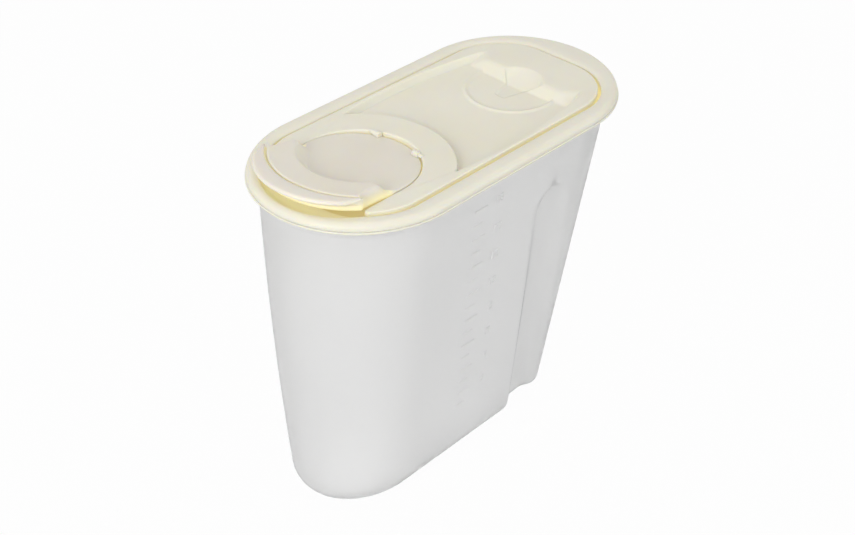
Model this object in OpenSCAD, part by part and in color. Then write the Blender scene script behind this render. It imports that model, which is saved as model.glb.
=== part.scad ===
// Dry food container with a press-on lid and a flip spout.
// X runs along the lid with the spout at -X, -Y is the side with the level scale, +Z is up.
// The origin is on the floor, below the middle of the lid. Sizes are in millimetres.

/* [Container] */
// Overall length of the lid, the longest size of the object
lid_length = 220; // [200:1:240]
// Overall width of the lid
lid_width = 110; // [104:1:116]
// Height of the container without its lid
container_height = 189; // [186:0.5:196]
// Wall thickness of the container
wall = 1.4; // [1:0.1:2]
// How far the container's wall stands inside the edge of the lid
wall_inset = 5.9; // [5.6:0.1:6.2]
// Distance from the middle to the front end of the base
base_front = 100.2; // [96:0.1:102]
// Distance from the middle to the rear end of the base
base_rear = 62.6; // [56:0.1:80]
// Half width of the base
base_half = 33; // [30:0.5:42]
// Radius of the turn between base and sides
base_round = 15; // [10:0.5:18]
// Corner radius at the rear end of the base
base_rear_round = 27; // [20:0.5:30]
// How much longer than a half circle the front end of the base is
base_nose = 1.22; // [1:0.01:1.3]
// Thickness of the flange round the container's mouth
flange_thick = 1.4; // [1:0.1:2]
// How far the flange stands out from the wall
flange_out = 3.7; // [3:0.1:4]

/* [Hand grips] */
// Place of the grip hollows along the container
grip_x = 35; // [30:0.5:40]
// Half the length of a grip hollow
grip_half = 15; // [12:0.5:18]
// Depth of the grip hollow at the base
grip_deep = 6.5; // [0:0.5:8]
// Height of the rounded upper end of the grip hollow
grip_top = 158; // [140:1:165]

/* [Level scale] */
// Number of marks on the level scale
mark_count = 16; // [4:1:18]
// Distance between two marks
mark_step = 8.6; // [7:0.1:9]
// Height of the highest mark
mark_top = 171; // [160:1:174]
// Height of the raised marks above the wall
mark_raise = 0.3; // [0.2:0.05:0.5]

/* [Lid] */
// Height of the lid's top above the floor
top_height = 192.6; // [192.6:0.1:199]
// Height of the lid's rolled edge
edge_height = 5; // [4.5:0.1:5.4]
// Radius of the rolled edge
edge_round = 3.4; // [2:0.1:3.6]
// Thickness of the lid's skin
skin = 1.5; // [1.2:0.1:1.8]
// Width of the groove round the raised middle
groove_width = 1.7; // [1.4:0.1:2]
// Depth of that groove
groove_deep = 6; // [5:0.1:6.5]
// Half length of the raised middle
middle_long = 91.5; // [88:0.1:92]
// Half width of the raised middle
middle_wide = 43.2; // [42:0.1:43.4]
// Corner radius of the raised middle
middle_round = 30.6; // [28:0.1:31]
// Width of the border round the tray, where it is narrowest
border = 1.7; // [1.6:0.1:3]
// Radius of the bend of the tray's sides, which brings them closer together towards the rear block
tray_bend = 280; // [260:10:400]
// Depth of the tray
tray_deep = 4.1; // [3:0.1:4.2]

/* [Rear block and finger scoop] */
// Place of the upper edge of the slope at the front of the rear block
block_x = 63.5; // [62:0.5:66]
// Steepness of that slope, in degrees
block_lean = 37; // [32:1:50]
// Half the length of the straight part of the block's front
wing_y = 26; // [22:0.5:27]
// Turn of the block's front beside the straight part, in degrees
wing_turn = 45; // [30:1:55]
// Middle of the round finger scoop
scoop_x = 54; // [52:0.5:54]
// Radius of the finger scoop
scoop_r = 24; // [22:0.5:25]
// Depth of the scoop's floor below the tray
scoop_deep = 0.5; // [0.3:0.1:0.6]
// How far the thumb pocket reaches into the block
thumb_reach = 8; // [5:0.5:9]
// Half width of the thumb pocket at the block's upper edge
thumb_half = 13; // [10:0.5:14]

/* [Flip spout] */
// Middle of the round part of the flap
flap_x = -57.5; // [-59:0.5:-56]
// Radius of the round part of the flap
flap_r = 30.9; // [29:0.1:31]
// Gap between the flap and the lid
flap_gap = 0.6; // [0.5:0.1:0.8]
// How far ridge and lip of the flap stand above the lid's top
ridge_rise = 4.4; // [2:0.1:5]
// Middle of the arc of the ridge's outer edge
ridge_x = -56.5; // [-58:0.5:-55]
// Radius of the ridge's outer edge
ridge_r = 43; // [42.5:0.1:43.2]
// Middle of the arc that the lip's foot follows
foot_x = -63.6; // [-64:0.1:-63]
// Radius of the lip's foot
foot_r = 40.4; // [40:0.1:40.8]
// Depth of the lip's foot in the lid's edge
foot_deep = 2; // [1.6:0.1:2]
// Middle of the arc of the lip's upper edge
lip_x = -69.3; // [-69.6:0.1:-69]
// Radius of the lip's upper edge
lip_r = 40; // [39:0.1:40.4]
// Radius of the dish at its rim
dish_r = 29.5; // [28.5:0.1:29.6]
// Width of the slope between the dish's rim and its floor
dish_slope = 5.5; // [4:0.5:7]
// Depth of the dish's floor below the lid's top
dish_deep = 2; // [1.6:0.1:2.2]
// Where the ridge round the dish ends
ridge_end = -65; // [-68:0.5:-62]
// Middle of the round pour opening
pour_x = -62; // [-63:0.5:-61]
// Radius of the pour opening
pour_r = 24.6; // [20:0.1:25]
// How far the flap stands open, in degrees
ajar = 4.3; // [0:0.1:60]

/* [Hinge] */
// Place of the hinge axis along the lid
hinge_x = -30.5; // [-31:0.1:-30]
// Depth of the hinge axis below the lid's top
hinge_deep = 1; // [0.9:0.1:1.2]
// Radius of the hinge pins
pin_r = 1.1; // [0.9:0.05:1.2]
// Clearance round the pins
pin_gap = 0.05; // [0.03:0.01:0.1]

/* [Hidden] */
$fn = 96;
eps = 0.01;
big = 400;
cream = [0.89, 0.87, 0.80];
milky = [0.86, 0.87, 0.88];

// Half circles at the ends of the lid
end_r = lid_width / 2;
end_x = lid_length / 2 - end_r;

// Container shell
flange_z = container_height - flange_thick;
mouth_r = end_r - wall_inset;
mouth_half = end_x + mouth_r;
side_bow = 1.1;
front_bow = 2.4;
rear_bow = -1.8;
arc_steps = 15;
nose_steps = 24;
side_steps = 14;
turn_steps = 5;
low_steps = 8;
arch_steps = 5;
level_steps = low_steps + arch_steps + 1;
flat_end = 0.4;
grip_fade = 0.3;
grip_part = 0.6;
arch_margin = 3;

// Marks and digits of the level scale
mark_x = -26;
mark_long = 9;
mark_short = 6;
mark_thick = 0.8;
mark_sink = 0.05;
tens_x = -12;
ones_x = -8;
digit_drop = 1.8;
digit_w = 2.6;
digit_h = 4.4;
digit_bar = 0.7;

// Lid levels
edge_bottom = top_height - edge_height;
edge_lip = 0.5;
edge_lip_high = 0.8;
edge_wall = 1.3;
deck_thick = skin + 0.2;
deck_under = top_height - deck_thick;
deck_r = mouth_r - 2;
lap = 0.1;
rib_bottom = container_height + 0.3;
rib_thick = 1.2;
groove_floor = top_height - groove_deep;
floor_thick = 1.3;
web = 1.2;
tray_z = top_height - tray_deep;
panel_under = tray_z - skin;
seat_wall = 1.5;
tip_wall = 4;
tip_ease = 0.1;
hinge_zone_drop = 0.2;
hinge_zone_r = 48;

// Lip and the step that it lies in
lip_under = top_height - foot_deep;
step_z = lip_under - 0.3;
step_wall = 1;
step_under = step_z - step_wall;
fan_x = -84.6;
pan_front_x = fan_x + 0.4;
tip_x = -81.5;

// Flap levels when shut
dish_z = top_height - dish_deep;
dish_x = -57;
flap_under = dish_z - skin;
ridge_z = top_height + ridge_rise;
shoulder_lean = 38;

// Flare of the lip over the lid's edge, and the line between ridge and lip
flare_z = top_height + 0.6;
flare_high = 2.8;
flare_out = 3;
line_width = 1.2;
line_z = ridge_z - 1.4;
lip_end_x = -80;
lip_end_r = 34.2;

// Collar, plug ring and hinge
collar_high = 1.4;
collar_wall = 1.4;
plug_gap = 0.5;
plug_wall = 1.4;
plug_bottom = groove_floor - 1;
hinge_z = top_height - hinge_deep;
knuckle_r = 1.6;
knuckle_gap = 0.3;
pin_inner = 11.5;
pin_outer = 18.2;
knuckle_outer = 15.2;
bore_inner = 14.5;
bore_outer = pin_outer + 0.4;

// Middle of the bend of the tray's sides, slope beside the block's straight front
tray_bend_x = 5;
wing_lean = 25;

// Scoop with its thumb pocket, which starts narrow on the floor and rises to the top of the block
scoop_z = tray_z - scoop_deep;
thumb_step = 0.8;
thumb_z = scoop_z - thumb_step;
scoop_under = thumb_z - floor_thick;
thumb_front = 45;
thumb_narrow = 3;
thumb_foot = 57;
thumb_foot_half = 6;
thumb_c = block_x + (thumb_reach * thumb_reach - thumb_half * thumb_half) / (2 * thumb_reach);
thumb_r = block_x + thumb_reach - thumb_c;
thumb_rise = atan((top_height - thumb_z) / (block_x + thumb_reach - thumb_foot));

function mix(a, b, k) = a + (b - a) * k;
function bow(k) = 4 * k * (1 - k);
function front_at(k) = -mix(base_front, mouth_half, k) - front_bow * bow(k);
function rear_at(k) = mix(base_rear, mouth_half, k) + rear_bow * bow(k);
function half_at(k) = mix(base_half, mouth_r, k) + side_bow * bow(k);
function nose_at(k) = mix(base_nose, 1, k) * half_at(k);
function corner_at(k) = mix(base_rear_round, mouth_r, k);

// Depth of a grip hollow at a place along the side: an arch that deepens towards the base
function grip_width(z) =
    let (start = grip_top - grip_half, rise = max(z - start, 0) / grip_half)
    grip_half * sqrt(max(1 - rise * rise, 0));
function grip_depth(z) = grip_deep * mix(1, grip_fade, min(z / grip_top, 1));
function grip(x, z) =
    let (w = grip_width(z), t = w > eps ? abs(x - grip_x) / w : 2)
    t >= 1 ? 0 : grip_depth(z) * pow(1 - pow(t, 4), 2);

// Places along a side where the outline has a point, closer together at the grip hollow
function side_part(i) = i < 2 ? i * grip_part / 2 : mix(grip_part, 1, (i - 2) / (side_steps - 2));

// Heights where the shell has an outline, closer together at the upper end of the grip hollow
function level(i) =
    let (arch_foot = grip_top - grip_half - arch_margin, arch_end = grip_top + 1)
    i <= low_steps ? mix(base_round, arch_foot, i / low_steps)
    : i < level_steps ? mix(arch_foot, arch_end, (i - low_steps) / arch_steps)
    : flange_z;

// One closed outline of the shell at height z, drawn "inset" inside the outer face
function outline(z, inset) =
    let (k = min(z / flange_z, 1),
         fx = front_at(k) + inset,
         rx = rear_at(k) - inset,
         w = half_at(k) - inset,
         nose = nose_at(k) - inset,
         r = max(min(corner_at(k) - inset, w - flat_end), eps),
         side_front = fx + nose,
         side_rear = rx - r,
         right = concat(
             [for (i = [0 : side_steps]) [mix(side_front, side_rear, side_part(i)), w]],
             [for (i = [1 : arc_steps]) let (a = 90 * i / arc_steps)
                 [side_rear + r * sin(a), w - r + r * cos(a)]]),
         back = [for (i = [len(right) - 1 : -1 : 0]) [right[i][0], -right[i][1]]],
         front = [for (i = [1 : nose_steps - 1]) let (a = 180 * i / nose_steps)
                 [side_front - nose * sin(a), -w * cos(a)]])
    [for (p = concat(right, back, front))
        [p[0], p[1] - sign(p[1]) * min(grip(p[0], z), abs(p[1])), z]];

// Heights and insets of the outlines of the outer face, from the base up
function outer_rings() = concat(
    [for (i = [0 : turn_steps]) let (a = 90 * i / turn_steps)
        outline(base_round * (1 - cos(a)), base_round * (1 - sin(a)))],
    [for (i = [1 : level_steps]) outline(level(i), 0)]);
function inner_rings() = concat(
    [for (i = [level_steps : -1 : 1]) outline(level(i), wall)],
    [for (i = [turn_steps : -1 : 0]) let (a = 90 * i / turn_steps, r = base_round - wall)
        outline(base_round - r * cos(a), base_round - r * sin(a))]);

// Triangles that close a flat ring, in strips across it from its rear end to its front
function cap(first, n, flip) =
    [for (t = [0 : (n - 3) / 2]) let
        (rear = side_steps + arc_steps + 1,
         a = first + (rear - 1 - t + n) % n,
         b = first + (rear + t) % n,
         c = first + (rear + t + 1) % n,
         d = first + (rear - 2 - t + n) % n)
        each c == d ? [flip ? [b, a, d] : [d, a, b]]
            : flip ? [[b, a, d], [c, b, d]] : [[d, a, b], [d, b, c]]];

// Closed shell from a stack of equal-length rings: sides between them, flat caps at both ends
module shell(rings) {
    n = len(rings[0]);
    m = len(rings);
    points = [for (ring = rings) each ring];
    sides = [for (j = [0 : m - 2]) for (i = [0 : n - 1])
        let (a = j * n + i, b = j * n + (i + 1) % n)
        each [[a, b + n, b], [a, a + n, b + n]]];
    polyhedron(points, concat(sides, cap(0, n, false), cap((m - 1) * n, n, true)), convexity = 10);
}

// Outline with straight sides and half-circle ends
module stadium(r) {
    translate([end_x, 0]) circle(r);
    translate([-end_x, 0]) circle(r);
    square([2 * end_x, 2 * r], center = true);
}

// Outline of the raised middle, grown by g
module middle(g) {
    cx = middle_long - middle_round;
    cy = middle_wide - middle_round;
    for (sx = [-1, 1]) for (sy = [-1, 1]) translate([sx * cx, sy * cy]) circle(middle_round + g);
    square([2 * cx, 2 * (middle_wide + g)], center = true);
    square([2 * (middle_long + g), 2 * cy], center = true);
}

module behind(x) {
    translate([x, -big / 2]) square([big, big]);
}

module ahead(x) {
    translate([x - big, -big / 2]) square([big, big]);
}

// Round part and straight sides of the flap, grown by g. A smaller one reaches on into the flap's front.
module flap_round(g) {
    start = fan_x + min(g, 0);
    translate([flap_x, 0]) circle(flap_r + g);
    translate([start, -flap_r - g]) square([flap_x - start, 2 * (flap_r + g)]);
}

// Opening in the raised middle that the flap lies in
module pan_cut(g) {
    flap_round(flap_gap + g);
    intersection() {
        middle(groove_width + g);
        ahead(pan_front_x + g);
    }
}

// Raised middle of the lid without the flap's opening, its strips ending in round tips
module panel_area() {
    tip_in = flap_r + flap_gap;
    cx = middle_long - middle_round;
    cy = middle_wide - middle_round;
    tip_out = cy + sqrt(middle_round * middle_round - (tip_x + cx) * (tip_x + cx));
    tip_r = (tip_out - tip_in) / 2 - tip_ease;
    difference() {
        intersection() {
            middle(0);
            behind(tip_x);
        }
        flap_round(flap_gap);
    }
    for (s = [-1, 1]) translate([tip_x, s * (tip_in + tip_out) / 2]) circle(tip_r);
}

// Plan of the rear block at its top: straight at the front, turned back near the borders, drawn g inside
module block_area(g) {
    far = big / 2;
    run = far * tan(90 - wing_turn);
    polygon([[block_x + g, -wing_y], [block_x + g, wing_y], [block_x + g + far, wing_y + run],
             [block_x + g + far, -wing_y - run]]);
}

// Everything below one of the slopes at the front of the block, which starts at y on the block's edge
module below_slope(y, turn, lean) {
    translate([block_x, y, top_height]) rotate([0, 0, turn]) rotate([0, 90 - lean, 0])
        translate([0, -big / 2, -big / 2]) cube([big, big, big]);
}

module block_slopes() {
    intersection() {
        below_slope(0, 0, block_lean);
        below_slope(wing_y, -wing_turn, wing_lean);
        below_slope(-wing_y, wing_turn, wing_lean);
    }
}

module tray_area() {
    side = middle_wide - border - tray_bend;
    difference() {
        intersection() {
            middle(-border);
            translate([tray_bend_x, side]) circle(tray_bend);
            translate([tray_bend_x, -side]) circle(tray_bend);
        }
        translate([flap_x, 0]) circle(hinge_zone_r);
    }
}

module hinge_area() {
    intersection() {
        middle(-border);
        translate([flap_x, 0]) circle(hinge_zone_r);
    }
}

// Plan of the thumb pocket: narrow at the front, round where it enters the block
module thumb_plan() {
    polygon([[thumb_front, -thumb_narrow], [thumb_front, thumb_narrow], [thumb_foot, thumb_foot_half],
             [block_x, thumb_half], [block_x, -thumb_half], [thumb_foot, -thumb_foot_half]]);
    intersection() {
        translate([thumb_c, 0]) circle(thumb_r);
        behind(block_x - eps);
    }
}

// Plan of the scoop with its slope and pocket, grown by g
module scoop_plan(g) {
    intersection() {
        translate([scoop_x, 0]) circle(scoop_r + g);
        ahead(block_x);
    }
    intersection() {
        translate([thumb_c, 0]) circle(thumb_r + g);
        behind(block_x - eps);
    }
}

// Space of the thumb pocket: level on the scoop's floor, then up to the top of the block
module thumb_pocket() {
    intersection() {
        translate([0, 0, thumb_z]) linear_extrude(big) thumb_plan();
        translate([thumb_foot, 0, thumb_z]) rotate([0, -thumb_rise, 0])
            translate([-big / 2, -big / 2, 0]) cube([big, big, big]);
    }
    intersection() {
        translate([0, 0, thumb_z]) linear_extrude(big) thumb_plan();
        translate([thumb_foot - big, -big / 2, thumb_z]) cube([big + eps, big, big]);
    }
}

// Swings the flap's pieces from shut to the angle at which it rests
module at_rest() {
    translate([hinge_x, 0, hinge_z])
        rotate([0, ajar, 0])
            translate([-hinge_x, 0, -hinge_z]) children();
}

module container_body() {
    color(milky) shell(concat(outer_rings(), inner_rings()));
}

module container_rim() {
    color(milky) translate([0, 0, flange_z]) linear_extrude(flange_thick) difference() {
        stadium(mouth_r + flange_out);
        stadium(mouth_r - wall);
    }
}

// A raised bar on the near side, w long and h high, its lower left corner at (x, z)
module side_bar(x, z, w, h) {
    y0 = -half_at(z / flange_z);
    y1 = -half_at((z + h) / flange_z);
    lean = atan((y0 - y1) / h);
    translate([x, y0, z]) rotate([lean, 0, 0]) translate([0, -mark_raise, 0])
        cube([w, mark_raise + mark_sink, h]);
}

// Bars of a plain seven-bar digit, 0 to 9
module digit(x, z, value) {
    bars = ["1110111", "0010010", "1011101", "1011011", "0111010",
            "1101011", "1101111", "1010010", "1111111", "1111011"];
    b = bars[value];
    half = digit_h / 2;
    right_x = x + digit_w - digit_bar;
    if (b[0] == "1") side_bar(x, z + digit_h - digit_bar, digit_w, digit_bar);
    if (b[1] == "1") side_bar(x, z + half, digit_bar, half);
    if (b[2] == "1") side_bar(right_x, z + half, digit_bar, half);
    if (b[3] == "1") side_bar(x, z + half - digit_bar / 2, digit_w, digit_bar);
    if (b[4] == "1") side_bar(x, z, digit_bar, half);
    if (b[5] == "1") side_bar(right_x, z, digit_bar, half);
    if (b[6] == "1") side_bar(x, z, digit_w, digit_bar);
}

module level_scale() {
    color(milky) for (i = [0 : mark_count - 1]) {
        z = mark_top - i * mark_step;
        value = mark_count - i;
        numbered = i % 2 == 0;
        side_bar(mark_x, z, numbered ? mark_long : mark_short, mark_thick);
        if (numbered && value > 9) digit(tens_x, z - digit_drop, floor(value / 10));
        if (numbered) digit(ones_x, z - digit_drop, value % 10);
    }
}

// Cross-section of the rolled edge: distance from the middle line, height
module edge_section() {
    side_r = end_r - edge_lip;
    cz = top_height - edge_round;
    inner_r = side_r - edge_wall;
    lip_top = edge_bottom + edge_lip_high;
    polygon(concat(
        [[end_r, edge_bottom], [end_r, lip_top], [side_r, lip_top + lap]],
        [for (a = [0 : 6 : 90]) [side_r - edge_round + edge_round * cos(a), cz + edge_round * sin(a)]],
        [[deck_r, top_height], [deck_r, deck_under], [inner_r - edge_lip_high, deck_under],
         [inner_r, deck_under - edge_lip_high], [inner_r, edge_bottom]]));
}

module edge_sweep() {
    for (s = [0, 180]) rotate([0, 0, s]) {
        translate([end_x, 0, 0]) rotate([0, 0, -90]) rotate_extrude(angle = 180) edge_section();
        translate([-end_x, 0, 0]) rotate([90, 0, 90]) linear_extrude(2 * end_x) edge_section();
    }
}

// Step in the front of the edge that takes the flap's lip
module lip_step(g) {
    intersection() {
        translate([foot_x, 0]) circle(foot_r + flap_gap + g);
        ahead(tip_x + g);
    }
}

module lid_rim() {
    color(cream) {
        difference() {
            union() {
                edge_sweep();
                translate([0, 0, deck_under]) linear_extrude(deck_thick) stadium(deck_r + lap);
            }
            linear_extrude(big) middle(groove_width + web);
            translate([0, 0, step_z]) linear_extrude(big) lip_step(0);
        }
        // floor of the step and the riser round it
        translate([0, 0, step_under]) linear_extrude(step_wall) difference() {
            lip_step(step_wall);
            middle(groove_width + web);
        }
        translate([0, 0, step_z]) linear_extrude(deck_under - step_z) difference() {
            lip_step(step_wall);
            lip_step(0);
            middle(groove_width + web);
        }
        // rib that lands on the container's flange
        translate([0, 0, rib_bottom]) linear_extrude(deck_under - rib_bottom) difference() {
            stadium(mouth_r);
            stadium(mouth_r - rib_thick);
            lip_step(step_wall);
            middle(groove_width + web);
        }
    }
}

module seal_channel() {
    color(cream) {
        difference() {
            translate([0, 0, groove_floor - floor_thick])
                linear_extrude(top_height - groove_floor + floor_thick) difference() {
                    middle(groove_width + web);
                    middle(groove_width);
                }
            translate([0, 0, step_z]) linear_extrude(big) lip_step(0);
        }
        translate([0, 0, groove_floor - floor_thick]) linear_extrude(floor_thick) difference() {
            intersection() {
                middle(groove_width);
                behind(pan_front_x);
            }
            panel_area();
            pan_cut(0);
        }
    }
}

module lid_panel() {
    color(cream) difference() {
        translate([0, 0, groove_floor - floor_thick])
            linear_extrude(top_height - groove_floor + floor_thick) panel_area();
        // hollow below
        translate([0, 0, groove_floor - floor_thick - eps])
            linear_extrude(panel_under - groove_floor + floor_thick + eps) difference() {
            intersection() {
                middle(-floor_thick);
                behind(tip_x + tip_wall);
            }
            flap_round(flap_gap + floor_thick);
        }
        translate([0, 0, panel_under - eps]) linear_extrude(tray_deep + eps) difference() {
            intersection() {
                middle(-border);
                block_area(skin);
            }
            scoop_plan(floor_thick + seat_wall);
        }
        difference() {
            translate([0, 0, tray_z]) linear_extrude(big) tray_area();
            block_slopes();
        }
        translate([0, 0, top_height - hinge_zone_drop]) linear_extrude(big) hinge_area();
        // seat of the scoop
        translate([0, 0, -eps]) linear_extrude(big) scoop_plan(floor_thick);
        // bores that the hinge pins snap into, open at the top
        for (s = [-1, 1]) translate([hinge_x, s * bore_inner, hinge_z])
            rotate([-s * 90, 0, 0]) cylinder(r = pin_r + pin_gap, h = bore_outer - bore_inner);
        knuckle_room(knuckle_gap);
    }
}

module finger_scoop() {
    color(cream) difference() {
        translate([0, 0, scoop_under]) linear_extrude(top_height - scoop_under) scoop_plan(floor_thick);
        // tray and scoop ahead of the block's slope
        difference() {
            translate([0, 0, tray_z]) linear_extrude(big) scoop_plan(2 * floor_thick);
            block_slopes();
        }
        difference() {
            translate([scoop_x, 0, scoop_z]) cylinder(r = scoop_r, h = top_height - scoop_z);
            block_slopes();
        }
        thumb_pocket();
    }
}

module spout_pan() {
    color(cream) {
        // floor with the pour opening and its collar
        translate([0, 0, groove_floor - floor_thick]) linear_extrude(floor_thick) difference() {
            pan_cut(0);
            translate([pour_x, 0]) circle(pour_r);
        }
        translate([0, 0, groove_floor]) linear_extrude(collar_high) difference() {
            translate([pour_x, 0]) circle(pour_r + collar_wall);
            translate([pour_x, 0]) circle(pour_r);
        }
    }
}

// Floor of the flap, inside the opening and the groove
module flap_floor() {
    flap_round(0);
    intersection() {
        middle(groove_width - flap_gap);
        ahead(fan_x + eps);
    }
}

// Plan of the ridge, drawn g inside its edge and with no dish in it
module ridge_area(g) {
    intersection() {
        flap_round(-g);
        ahead(ridge_end - g);
    }
    intersection() {
        translate([ridge_x, 0]) circle(ridge_r - g);
        ahead(fan_x - g);
    }
}

// Space of the dish, grown by g, from the flap's underside or from its floor to above the ridge
module dish(g) {
    floor_r = dish_r - dish_slope + g;
    translate([dish_x, 0, dish_z]) cylinder(r1 = floor_r, r2 = dish_r + g, h = ridge_z - dish_z);
    translate([dish_x, 0, ridge_z - eps]) cylinder(r = dish_r + g, h = skin);
    if (g > 0) translate([dish_x, 0, flap_under - skin])
        cylinder(r = floor_r, h = dish_z - flap_under + skin + eps);
}

// Everything above the slope at the ridge's rear end, which is moved ahead by g
module above_shoulder(g) {
    translate([ridge_end - g, 0, dish_z])
        rotate([0, -shoulder_lean, 0])
            translate([0, -big / 2, 0]) cube([big, big, big]);
}

module flap_plate() {
    color(cream) at_rest() difference() {
        union() {
            translate([0, 0, flap_under]) linear_extrude(dish_z - flap_under) flap_floor();
            translate([0, 0, dish_z]) linear_extrude(ridge_z - dish_z) ridge_area(0);
        }
        dish(0);
        above_shoulder(0);
        // hollow below the ridge
        difference() {
            translate([0, 0, flap_under - eps])
                linear_extrude(ridge_z - skin - flap_under + eps) ridge_area(skin);
            dish(skin);
            above_shoulder(skin);
        }
        knuckle_room(0);
    }
}

// Room for the knuckles, with a gap all round
module knuckle_room(gap) {
    for (s = [-1, 1]) translate([hinge_x, s * (pin_inner + knuckle_outer) / 2, hinge_z])
        rotate([90, 0, 0])
            cylinder(r = knuckle_r + gap, h = knuckle_outer - pin_inner + 2 * gap, center = true);
}

// Plan that the lip stays in: ahead of the straight sides, with rounded ends
module lip_area() {
    intersection() {
        translate([lip_end_x, 0]) circle(lip_end_r);
        ahead(fan_x);
    }
}

module flap_lip() {
    color(cream) at_rest() difference() {
        intersection() {
            union() {
                translate([foot_x, 0, lip_under]) cylinder(r = foot_r, h = ridge_z - lip_under);
                translate([lip_x, 0, flare_z]) cylinder(r1 = lip_r - flare_out, r2 = lip_r, h = flare_high);
                translate([lip_x, 0, flare_z + flare_high])
                    cylinder(r = lip_r, h = ridge_z - flare_z - flare_high);
            }
            linear_extrude(big) lip_area();
        }
        linear_extrude(big) translate([ridge_x, 0]) circle(ridge_r);
        translate([0, 0, line_z]) linear_extrude(big) translate([ridge_x, 0]) circle(ridge_r + line_width);
    }
}

module flap_plug() {
    color(cream) at_rest() translate([pour_x, 0, plug_bottom]) difference() {
        cylinder(r = pour_r - plug_gap, h = flap_under - plug_bottom);
        translate([0, 0, -eps])
            cylinder(r = pour_r - plug_gap - plug_wall, h = flap_under - plug_bottom + 2 * eps);
    }
}

module hinge_pins() {
    color(cream) at_rest() for (s = [-1, 1]) {
        translate([hinge_x, s * pin_inner, hinge_z]) rotate([-s * 90, 0, 0])
            cylinder(r = knuckle_r, h = knuckle_outer - pin_inner);
        translate([hinge_x, s * pin_inner, hinge_z]) rotate([-s * 90, 0, 0])
            cylinder(r = pin_r, h = pin_outer - pin_inner);
    }
}

container_body();
container_rim();
level_scale();
lid_rim();
seal_channel();
lid_panel();
finger_scoop();
spout_pan();
flap_plate();
flap_lip();
flap_plug();
hinge_pins();
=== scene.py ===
import bmesh
import bpy
import numpy as np
from mathutils import Matrix


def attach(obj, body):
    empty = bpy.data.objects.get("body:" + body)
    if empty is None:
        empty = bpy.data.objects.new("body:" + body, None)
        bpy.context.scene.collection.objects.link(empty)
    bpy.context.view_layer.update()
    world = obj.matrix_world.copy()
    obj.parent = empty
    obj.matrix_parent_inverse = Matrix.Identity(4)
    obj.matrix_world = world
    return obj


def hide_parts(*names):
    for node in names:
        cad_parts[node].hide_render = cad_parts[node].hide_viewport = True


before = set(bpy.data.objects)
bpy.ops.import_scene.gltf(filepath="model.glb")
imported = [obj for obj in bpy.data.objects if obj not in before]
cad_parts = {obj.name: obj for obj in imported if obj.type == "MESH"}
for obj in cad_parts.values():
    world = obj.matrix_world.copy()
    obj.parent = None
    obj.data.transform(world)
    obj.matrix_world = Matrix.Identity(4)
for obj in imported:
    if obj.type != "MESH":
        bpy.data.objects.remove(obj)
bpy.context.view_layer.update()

# Shapes below are worked out in millimetres in the frame's axes, and made metres when they become a mesh.
MM = 0.001

# Container shell
MOUTH_R = 49.1
MOUTH_HALF = 104.1
SHELL_TOP = 187.6
FLANGE_TOP = 189.0
FLANGE_OUT = 3.7
WALL = 1.4
BASE_FRONT = 100.2
BASE_REAR = 62.6
BASE_HALF = 33.0
BASE_ROUND = 15.0
BASE_REAR_ROUND = 27.0
BASE_NOSE = 1.22
SIDE_BOW = 1.1
FRONT_BOW = 2.4
REAR_BOW = -1.8
FLAT_END = 0.4
GRIP_X = 35.0
GRIP_HALF = 15.0
GRIP_DEEP = 6.5
GRIP_TOP = 158.0
GRIP_FADE = 0.3

# Lid
END_R = 55.0
END_X = 55.0
TOP = 192.6
EDGE_BOTTOM = 187.6
EDGE_ROUND = 3.4
EDGE_LIP = 0.5
EDGE_LIP_HIGH = 0.8
EDGE_WALL = 1.3
SKIN = 1.5
GROOVE_WIDTH = 1.7
GROOVE_FLOOR = 186.6
CHANNEL_BOTTOM = 185.3
CHANNEL_WALL = 1.2
WALL_LEVELS = (190.6, 189.2, 187.6, 186.2)
# Painted shade in the lid's gaps: where it starts below the top, and over what depth it grows to full
SHADE_START = 1.0
SHADE_SPAN = 3.6
# Painted shade and glow in the step under the flap's lip
UNDER_LIP_SHADE = 0.55
BEAD_SLOPE = 4.6
BEAD_DROP = 1.5
MIDDLE_LONG = 91.5
MIDDLE_WIDE = 43.2
MIDDLE_ROUND = 30.6
BORDER = 1.7
BORDER_SLOPE = 2.4
TRAY_Z = 188.5
TRAY_BEND_X = 5.0
TRAY_BEND = 280.0
HINGE_ZONE_R = 48.0
HINGE_ZONE_DROP = 0.2
TIP_X = -81.5

# Rear block and finger scoop
BLOCK_X = 63.5
BLOCK_RISE = np.tan(np.radians(37.0))
WING_Y = 26.0
WING_TURN = np.radians(45.0)
WING_RISE = np.tan(np.radians(25.0))
SCOOP_X = 54.0
SCOOP_R = 24.0
SCOOP_Z = 188.0
SCOOP_SLOPE = 1.6
RIM_BEAD = 0.85
RIM_WIDE = 1.3
THUMB_Z = 187.2
THUMB_FRONT = 45.0
THUMB_NARROW = 3.0
THUMB_FOOT = 57.0
THUMB_FOOT_HALF = 6.0
THUMB_HALF = 13.0
THUMB_REACH = 8.0
THUMB_C = BLOCK_X + (THUMB_REACH ** 2 - THUMB_HALF ** 2) / (2 * THUMB_REACH)
THUMB_R = BLOCK_X + THUMB_REACH - THUMB_C

# Flap
FLAP_X = -57.5
FLAP_R = 30.9
FLAP_GAP = 0.6
FAN_X = -84.6
FLAP_UNDER = 189.1
DISH_X = -57.0
DISH_R = 29.5
DISH_SLOPE = 5.5
DISH_Z = 190.6
RIDGE_X = -56.5
RIDGE_R = 43.0
RIDGE_Z = 197.0
RIDGE_END = -65.0
SHOULDER_RISE = 0.9

# Lip of the flap and the step that it lies in
FOOT_X = -63.6
FOOT_R = 40.4
LIP_X = -69.3
LIP_R = 40.0
LIP_END_X = -80.0
LIP_END_R = 34.2
LIP_UNDER = 190.6
FLARE_Z = 193.2
FLARE_HIGH = 2.8
FLARE_OUT = 3.0
LINE_WIDTH = 1.2
LINE_Z = 195.6
STEP_Z = 190.3
HINGE_X = -30.5
HINGE_Z = 191.6
AJAR = np.radians(4.3)

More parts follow.
